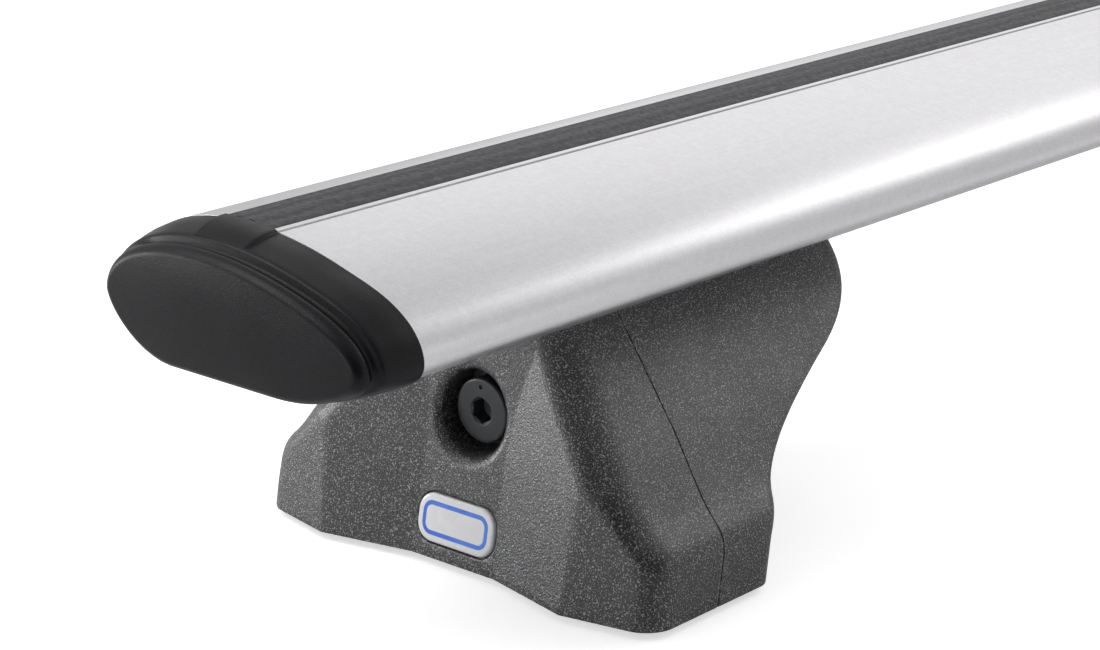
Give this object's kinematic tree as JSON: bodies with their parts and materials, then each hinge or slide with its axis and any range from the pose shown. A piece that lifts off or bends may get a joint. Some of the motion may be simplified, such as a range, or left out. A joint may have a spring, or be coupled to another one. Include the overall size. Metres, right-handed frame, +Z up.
{
  "type": "roof rack crossbar",
  "caption": "Aerofoil aluminium roof rack crossbar with a rubber-stripped top slot, black end caps and covered feet that bolt to the roof's fixed points.",
  "frame": {"origin": "Centre of the part's footprint, on the plane of the roof pads' undersides.", "axes": "+Y runs along the bar, from the left foot to the right foot. +Z is up. +X is the car's length: the sharp trailing nose of the bar faces +X."},
  "size_m": [0.1248, 1.0822, 0.0952],
  "materials": {
    "aluminium_profile": "satin anodised",
    "slot_rubber": "matt",
    "cap_plastic": "fine grain",
    "cover_plastic": "coarse moulded grain",
    "badge_plastic": "gloss, blue ring",
    "black_steel": "black coated",
    "zinc_steel": "zinc plated",
    "cast_bracket": "as cast",
    "pad_rubber": "matt",
    "insert_brass": "turned"
  },
  "bodies": {
    "bar": {"crossbar_profile": "aluminium_profile", "slot_strip": "slot_rubber", "left_end_cap": "cap_plastic", "right_end_cap": "cap_plastic"},
    "left_foot": {"left_channel_nut": "zinc_steel", "left_foot_bracket": "cast_bracket", "left_clamp_bolts": "zinc_steel", "left_base_plate": "zinc_steel", "left_plate_screws": "zinc_steel", "left_roof_pad": "pad_rubber", "left_inner_cover": "cover_plastic", "left_inner_cover_screws": "zinc_steel", "left_screw_insert": "insert_brass"},
    "left_cover": {"left_outer_cover": "cover_plastic", "left_badge": "badge_plastic"},
    "left_screw": {"left_security_screw": "black_steel", "left_screw_clip": "zinc_steel"},
    "right_foot": {"right_channel_nut": "zinc_steel", "right_foot_bracket": "cast_bracket", "right_clamp_bolts": "zinc_steel", "right_base_plate": "zinc_steel", "right_plate_screws": "zinc_steel", "right_roof_pad": "pad_rubber", "right_inner_cover": "cover_plastic", "right_inner_cover_screws": "zinc_steel", "right_screw_insert": "insert_brass"},
    "right_cover": {"right_outer_cover": "cover_plastic", "right_badge": "badge_plastic"},
    "right_screw": {"right_security_screw": "black_steel", "right_screw_clip": "zinc_steel"}
  },
  "joints": [
    {"name": "left_foot_slide", "type": "slide", "parent": "bar", "child": "left_foot", "axis": [0, 1, 0], "range_m": [-0.03, 0.15]},
    {"name": "left_cover_pull", "type": "slide", "parent": "left_foot", "child": "left_cover", "axis": [0, -1, 0], "range_m": [0, 0.1]},
    {"name": "left_screw_turn", "type": "hinge", "parent": "left_cover", "child": "left_screw", "pos_m": [0, -0.461, 0.0374], "axis": [0, -1, 0], "continuous": true},
    {"name": "right_foot_slide", "type": "slide", "parent": "bar", "child": "right_foot", "axis": [0, -1, 0], "range_m": [-0.03, 0.15]},
    {"name": "right_cover_pull", "type": "slide", "parent": "right_foot", "child": "right_cover", "axis": [0, 1, 0], "range_m": [0, 0.1]},
    {"name": "right_screw_turn", "type": "hinge", "parent": "right_cover", "child": "right_screw", "pos_m": [0, 0.461, 0.0374], "axis": [0, 1, 0], "continuous": true}
  ]
}
